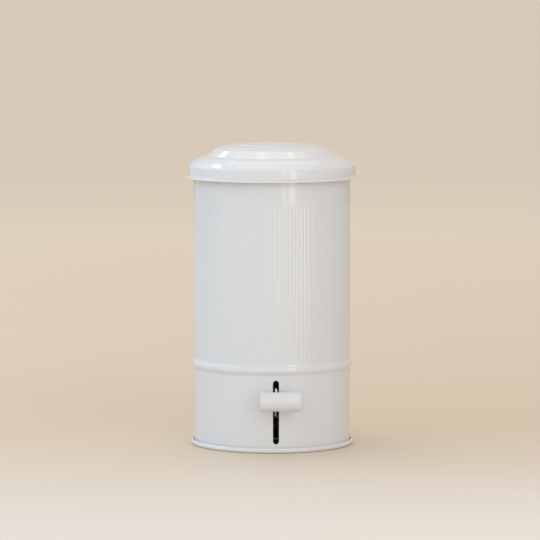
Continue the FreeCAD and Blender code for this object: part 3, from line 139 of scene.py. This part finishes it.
def spread(tree, source, low, high, start=0.0, stop=1.0):
    """A pattern's values between start and stop, spread from low to high."""
    node = add_node(tree, "ShaderNodeMapRange", From_Min=start, From_Max=stop,
                    To_Min=low, To_Max=high)
    tree.links.new(source, node.inputs["Value"])
    return node.outputs["Result"]


def combine(tree, operation, first, second):
    """Two values joined by one operation, such as MAXIMUM or MULTIPLY."""
    node = tree.nodes.new("ShaderNodeMath")
    node.operation = operation
    tree.links.new(first, node.inputs[0])
    tree.links.new(second, node.inputs[1])
    return node.outputs["Value"]


def two_tones(tree, mask, first, second):
    """A colour that goes from the first to the second as the mask rises."""
    ramp = tree.nodes.new("ShaderNodeValToRGB")
    ramp.color_ramp.elements[0].color = (*first, 1)
    ramp.color_ramp.elements[1].color = (*second, 1)
    tree.links.new(mask, ramp.inputs["Fac"])
    return ramp.outputs["Color"]


def add_bump(tree, shader, height, distance, under=None):
    """Relief on the surface. The distance is the real height of the pattern, in metres."""
    bump = add_node(tree, "ShaderNodeBump", Distance=distance)
    tree.links.new(height, bump.inputs["Height"])
    if under is not None:
        tree.links.new(under, bump.inputs["Normal"])
    tree.links.new(bump.outputs["Normal"], shader.inputs["Normal"])
    return bump.outputs["Normal"]


print("helpers ready")

# %% [markdown]
# ## White enamel
# The drum, the dish, the lid with its arm, the hinge bracket and the lever are sheet steel
# under baked white enamel. Real enamel isn't perfectly even: it has a fine orange-peel skin,
# the sheet under it waves a little, and its tone drifts slightly over a hand's width. A clear
# coat over a softer base gives the sharp window reflections on top of the pale, even white.
# The lid's shell gets a touch whiter enamel than the drum: painted light, standing in for the
# brighter light that falls on the lid.

# %% Mix the enamel
DRUM_WHITE = (0.745, 0.750, 0.755)
DRUM_SHADE = (0.725, 0.730, 0.737)
# The lid's tones are the drum's raised a touch: painted light on the lid's shell.
LID_WHITE_PAINTED_LIGHT = (0.775, 0.774, 0.778)
LID_SHADE_PAINTED_LIGHT = (0.755, 0.754, 0.760)
ENAMEL_DRIFT_SCALE = 9.0
ENAMEL_PEEL_SCALE = 900.0
ENAMEL_PEEL_HEIGHT = 0.0000022
ENAMEL_WAVE_SCALE = 26.0
ENAMEL_WAVE_HEIGHT = 0.00005
ENAMEL_SMOOTHEST = 0.36
ENAMEL_ROUGHEST = 0.44
COAT_SHARE = 0.8
COAT_ROUGHNESS = 0.09


def enamel(name, shade, white):
    """White enamel: a drifting tone on a wavy sheet, under a clear coat with a fine skin."""
    finish, tree, shader = new_finish(name)
    place = place_in_metres(tree)
    drift = noise(tree, place, ENAMEL_DRIFT_SCALE)
    roughness = spread(tree, drift, ENAMEL_SMOOTHEST, ENAMEL_ROUGHEST)
    tree.links.new(two_tones(tree, drift, shade, white), shader.inputs["Base Color"])
    tree.links.new(roughness, shader.inputs["Roughness"])
    shader.inputs["Coat Weight"].default_value = COAT_SHARE
    shader.inputs["Coat Roughness"].default_value = COAT_ROUGHNESS
    waves = noise(tree, place, ENAMEL_WAVE_SCALE, detail=1.0)
    waved = add_bump(tree, shader, waves, ENAMEL_WAVE_HEIGHT)
    peel = noise(tree, place, ENAMEL_PEEL_SCALE, detail=1.0)
    peeled = add_bump(tree, shader, peel, ENAMEL_PEEL_HEIGHT, under=waved)
    tree.links.new(peeled, shader.inputs["Coat Normal"])
    return finish


drum_enamel = enamel("drum_enamel", DRUM_SHADE, DRUM_WHITE)
# The lid's whiter enamel is painted light.
lid_enamel_painted_light = enamel("lid_enamel_painted_light", LID_SHADE_PAINTED_LIGHT, LID_WHITE_PAINTED_LIGHT)
print("enamel nodes:", len(drum_enamel.node_tree.nodes))

# %% [markdown]
# ## Zinc and bright steel
# The clips, rivets, guides and caps, the pivot bracket, the false floor and the lift rod are
# zinc plated: a dull grey metal with soft cloudy patches. The pins, the bar in the pedal's
# sleeve and the bail's wire are drawn steel, which is brighter and has fine lines along it.

# %% Plate and draw the steel
ZINC_PALE = (0.60, 0.61, 0.63)
ZINC_DARK = (0.43, 0.44, 0.46)
ZINC_CLOUD_SCALE = 120.0
ZINC_GRAIN_SCALE = 1500.0
ZINC_GRAIN_HEIGHT = 0.000004
ZINC_ROUGHNESS = 0.38
DRAWN_PALE = (0.68, 0.68, 0.69)
DRAWN_DARK = (0.50, 0.50, 0.52)
DRAWN_LINE_SCALE = 1400.0
DRAWN_LINE_STRETCH = 0.02
DRAWN_LINE_HEIGHT = 0.000003
DRAWN_ROUGHNESS = 0.27
METAL_ROUGHNESS_SWING = 0.08


def metal(name, dark, pale, pattern, grain, grain_height, rough):
    """Bare metal. A pattern drives its tone and its roughness: pale patches are smoother."""
    finish, tree, shader = new_finish(name)
    shader.inputs["Metallic"].default_value = 1.0
    clouds = pattern(tree)
    roughness = spread(tree, clouds, rough + METAL_ROUGHNESS_SWING, rough - METAL_ROUGHNESS_SWING)
    tree.links.new(two_tones(tree, clouds, dark, pale), shader.inputs["Base Color"])
    tree.links.new(roughness, shader.inputs["Roughness"])
    add_bump(tree, shader, grain(tree), grain_height)
    return finish


def zinc_clouds(tree):
    """The soft patches of the plating."""
    return noise(tree, place_in_metres(tree), ZINC_CLOUD_SCALE, detail=5.0)


def zinc_grain(tree):
    """The fine grain of the plating."""
    return noise(tree, place_in_metres(tree), ZINC_GRAIN_SCALE)


def drawn_lines(tree):
    """Noise that is stretched along the wire, so that it turns into fine lines."""
    along_wire = place_in_metres(tree, stretch=(DRAWN_LINE_STRETCH, 1, 1))
    return noise(tree, along_wire, DRAWN_LINE_SCALE, detail=2.0)


zinc_plate = metal("zinc_plate", ZINC_DARK, ZINC_PALE, pattern=zinc_clouds, grain=zinc_grain,
                   grain_height=ZINC_GRAIN_HEIGHT, rough=ZINC_ROUGHNESS)
drawn_steel = metal("drawn_steel", DRAWN_DARK, DRAWN_PALE, pattern=drawn_lines, grain=drawn_lines,
                    grain_height=DRAWN_LINE_HEIGHT, rough=DRAWN_ROUGHNESS)
print("metals:", zinc_plate.name, drawn_steel.name)

# %% [markdown]
# ## Plastic and rubber
# The pedal's sleeve is smooth white plastic, warmer and softer than the enamel. The bucket
# is dark plastic with the fine grain of its mould. The bumpers are matt rubber.

# %% Mould the plastics
SLEEVE_WHITE = (0.76, 0.765, 0.765)
SLEEVE_SHADE = (0.73, 0.735, 0.735)
BUCKET_DARK = (0.018, 0.019, 0.021)
BUCKET_PALE = (0.034, 0.035, 0.038)
RUBBER_PALE = (0.52, 0.52, 0.50)
RUBBER_SHADE = (0.44, 0.44, 0.42)
PLASTIC_ROUGHNESS_SWING = 0.05


def moulded(name, dark, pale, cloud_scale, rough, grain_scale, grain_height):
    """Plastic or rubber: two close tones, and a fine grain of the height given in metres."""
    finish, tree, shader = new_finish(name)
    place = place_in_metres(tree)
    clouds = noise(tree, place, cloud_scale)
    roughness = spread(tree, clouds, rough - PLASTIC_ROUGHNESS_SWING,
                       rough + PLASTIC_ROUGHNESS_SWING)
    tree.links.new(two_tones(tree, clouds, dark, pale), shader.inputs["Base Color"])
    tree.links.new(roughness, shader.inputs["Roughness"])
    add_bump(tree, shader, noise(tree, place, grain_scale), grain_height)
    return finish


sleeve_plastic = moulded("sleeve_plastic", SLEEVE_SHADE, SLEEVE_WHITE, cloud_scale=60.0,
                         rough=0.34, grain_scale=1100.0, grain_height=0.000003)
bucket_plastic = moulded("bucket_plastic", BUCKET_DARK, BUCKET_PALE, cloud_scale=25.0,
                         rough=0.45, grain_scale=1400.0, grain_height=0.000015)
bumper_rubber = moulded("bumper_rubber", RUBBER_SHADE, RUBBER_PALE, cloud_scale=200.0,
                        rough=0.75, grain_scale=1800.0, grain_height=0.00001)
print("moulded:", sleeve_plastic.name, bucket_plastic.name, bumper_rubber.name)

# %% [markdown]
# ## Give each piece its finish
# The metal pieces keep their own meshes, which are exact. Only their material slots change.

# %% Paint the pieces
FINISHES = {
    "white_paint": drum_enamel,
    "white_sleeve": sleeve_plastic,
    "zinc_steel": zinc_plate,
    "bucket_plastic": bucket_plastic,
    "rubber": bumper_rubber,
}
DRAWN_PIECES = ("hinge_pin", "pivot_pin", "lift_pin", "rod_pin", "pedal_crossbar", "bucket_bail")
# The lid's shell takes the whiter enamel, which is painted light.
OWN_FINISHES = {name: drawn_steel for name in DRAWN_PIECES} | {"lid_shell": lid_enamel_painted_light}
SLOTS = {part["node"]: part["material_slot"] for part in frame["record"]["subparts"]}

for name, piece in nodes.items():
    piece.data.materials.clear()
    piece.data.materials.append(OWN_FINISHES.get(name, FINISHES[SLOTS[name]]))
print("painted:", len(nodes))

# %% [markdown]
# ## A quiet room's light
# The picture has soft daylight. A wide cool window on the left and a broad pale sky in front
# light the drum, and one lamp overhead lights the lid. Two small windows behind the bin, high
# on the left, draw the bright spots on the lid's steps, and a narrow strip under the roof
# draws the thin line across its front. Three panes stand near the floor: the camera looks
# down a little, so an upright wall mirrors what is low. Two of them draw the thin upright
# lines right of the middle, and the third a cool rim along the left edge.

# %% Light the room
CLEAR_SKY = (0.46, 0.75, 1.0)
EDGE_SKY = (0.50, 0.76, 1.0)
FRONT_SKY = (0.96, 0.935, 0.932)
WARM_CEILING = (1.0, 0.88, 0.79)
WINDOW_WHITE = (0.93, 0.97, 1.0)
STRIP_WHITE = (0.97, 0.98, 1.0)
PANE_WHITE = (1.0, 0.98, 0.95)
LAMPS = (
    # name, distance, degrees to the right of the camera, height of its middle, then its own
    # width, height, watts and colour
    ("left_window", 2.3, -88, 1.3, 3.6, 2.2, 24.0, CLEAR_SKY),
    ("front_sky", 3.0, -11, 1.24, 4.2, 2.4, 18.5, FRONT_SKY),
    ("ceiling", 0.9, 180, 3.0, 2.4, 2.4, 12.8, WARM_CEILING),
    ("high_window", 2.3, -150, 2.15, 0.26, 0.26, 1.5, WINDOW_WHITE),
    ("side_window", 2.3, -131, 2.75, 0.36, 0.5, 2.6, WINDOW_WHITE),
    ("roof_strip", 0.55, -170, 2.5, 1.5, 0.10, 1.2, STRIP_WHITE),
    ("edge_pane", 1.3, -140, 0.75, 0.5, 1.48, 0.6, EDGE_SKY),
    ("wide_pane", 1.4, 29, 0.62, 0.21, 1.22, 2.3, PANE_WHITE),
    ("slim_pane", 1.4, 17.5, 0.62, 0.05, 1.22, 0.60, PANE_WHITE),
)
UPRIGHT_LAMPS = ("edge_pane", "wide_pane", "slim_pane")
BIN_MIDDLE = Vector((0, 0, 0.17))


def add_lamp(name, distance, side, height, width, tall, watts, colour):
    """An area lamp that faces the bin's middle. The upright ones don't lean towards it."""
    lamp_data = bpy.data.lights.new(name, "AREA")
    lamp_data.shape = "RECTANGLE"
    lamp_data.size, lamp_data.size_y = width, tall
    lamp_data.energy = watts
    lamp_data.color = colour
    lamp = bpy.data.objects.new(name, lamp_data)
    bpy.context.scene.collection.objects.link(lamp)
    angle = math.radians(side) + CAMERA_TURN
    lamp.location = (distance * math.sin(angle), -distance * math.cos(angle), height)
    aim = BIN_MIDDLE - lamp.location
    if name in UPRIGHT_LAMPS:
        aim.z = 0
    lamp.rotation_euler = aim.to_track_quat("-Z", "Y").to_euler()
    lamp.visible_camera = False


for facts in LAMPS:
    add_lamp(*facts)
print("lamps:", len(LAMPS))

# %% [markdown]
# The world gives the rest: a soft, nearly white glow from all sides. What the camera sees
# past the floor has its own pale colour, also in glossy and clear reflections.

# %% Set the glow and the backdrop
GLOW = (0.92, 0.946, 0.978, 1)
GLOW_STRENGTH = 0.69
BACKDROP = (0.681, 0.594, 0.489, 1)


def set_world():
    """A glow that lights the bin, and a backdrop for what camera, glossy and clear rays see."""
    world = bpy.data.worlds.new("room")
    bpy.context.scene.world = world
    world.use_nodes = True
    tree = world.node_tree
    tree.nodes.clear()
    glow = add_node(tree, "ShaderNodeBackground", Color=GLOW, Strength=GLOW_STRENGTH)
    backdrop = add_node(tree, "ShaderNodeBackground", Color=BACKDROP, Strength=1.0)
    ray = tree.nodes.new("ShaderNodeLightPath")
    seen = ray.outputs["Is Camera Ray"]
    for kind in ("Is Glossy Ray", "Is Transmission Ray"):
        seen = combine(tree, "MAXIMUM", seen, ray.outputs[kind])
    mix = tree.nodes.new("ShaderNodeMixShader")
    surface = tree.nodes.new("ShaderNodeOutputWorld")
    tree.links.new(seen, mix.inputs["Fac"])
    tree.links.new(glow.outputs["Background"], mix.inputs[1])
    tree.links.new(backdrop.outputs["Background"], mix.inputs[2])
    tree.links.new(mix.outputs["Shader"], surface.inputs["Surface"])


set_world()
bpy.context.scene.view_settings.view_transform = "Standard"
print("world ready")

# %% [markdown]
# The floor's own finish comes last, so that its tone can be judged beside the bin: a warm,
# slightly uneven screed, paler in front of the bin and far behind it than beside it; the
# darker tone beside the bin is painted shade. It also gets a little glow of its own,
# stronger far away: painted light on the far floor. That glow is for the camera's eye
# alone, so that it lights nothing.

# %% Finish the floor
FLOOR_FRONT = (0.780, 0.705, 0.615)
# Beside the bin the floor is darker and warmer: painted shade around the bin.
FLOOR_BESIDE_PAINTED_SHADE = (0.725, 0.570, 0.418)
FLOOR_FAR = (0.730, 0.622, 0.492)
FRONT_FADE_START = -0.55
FRONT_FADE_STOP = 0.15
FAR_FADE_START = 0.3
FAR_FADE_STOP = 3.0
# The camera-only glow grows with distance: painted light on the far floor, which leaves the floor
# by the bin darker.
FLOOR_PAINTED_LIGHT_NEAR = 0.04
FLOOR_PAINTED_LIGHT_FAR = 0.24
FLOOR_CLOUD_SCALE = 3.0
FLOOR_SMOOTHEST = 0.50
FLOOR_ROUGHEST = 0.62


def distance_from_bin(tree, place):
    """How far each point of the floor lies from the bin's axis, in metres."""
    length = tree.nodes.new("ShaderNodeVectorMath")
    length.operation = "LENGTH"
    tree.links.new(place, length.inputs[0])
    return length.outputs["Value"]


def floor_tone(tree, place, away):
    """The tone in front of the bin, then the darker painted shade beside it, then far behind it.
    """
    depth = tree.nodes.new("ShaderNodeSeparateXYZ")
    tree.links.new(place, depth.inputs["Vector"])
    behind = spread(tree, depth.outputs["Y"], 0.0, 1.0, FRONT_FADE_START, FRONT_FADE_STOP)
    tone = tree.nodes.new("ShaderNodeMixRGB")
    tree.links.new(behind, tone.inputs["Fac"])
    tone.inputs["Color1"].default_value = (*FLOOR_FRONT, 1)
    tree.links.new(two_tones(tree, away, FLOOR_BESIDE_PAINTED_SHADE, FLOOR_FAR), tone.inputs["Color2"])
    return tone.outputs["Color"]


def floor_finish():
    """A screed whose tone changes to the front and far away, with painted shade beside the bin
    and a glow of painted light for the camera alone, stronger far away.
    """
    finish, tree, shader = new_finish("pale_floor")
    place = place_in_metres(tree)
    reach = distance_from_bin(tree, place)
    away = spread(tree, reach, 0.0, 1.0, FAR_FADE_START, FAR_FADE_STOP)
    tone = floor_tone(tree, place, away)
    tree.links.new(tone, shader.inputs["Base Color"])
    tree.links.new(tone, shader.inputs["Emission Color"])
    clouds = noise(tree, place, FLOOR_CLOUD_SCALE)
    roughness = spread(tree, clouds, FLOOR_SMOOTHEST, FLOOR_ROUGHEST)
    tree.links.new(roughness, shader.inputs["Roughness"])
    ray = tree.nodes.new("ShaderNodeLightPath")
    glow = spread(tree, away, FLOOR_PAINTED_LIGHT_NEAR, FLOOR_PAINTED_LIGHT_FAR)
    seen = combine(tree, "MULTIPLY", glow, ray.outputs["Is Camera Ray"])
    tree.links.new(seen, shader.inputs["Emission Strength"])
    return finish


floor.data.materials.append(floor_finish())
print("floor finish:", floor.data.materials[0].name)
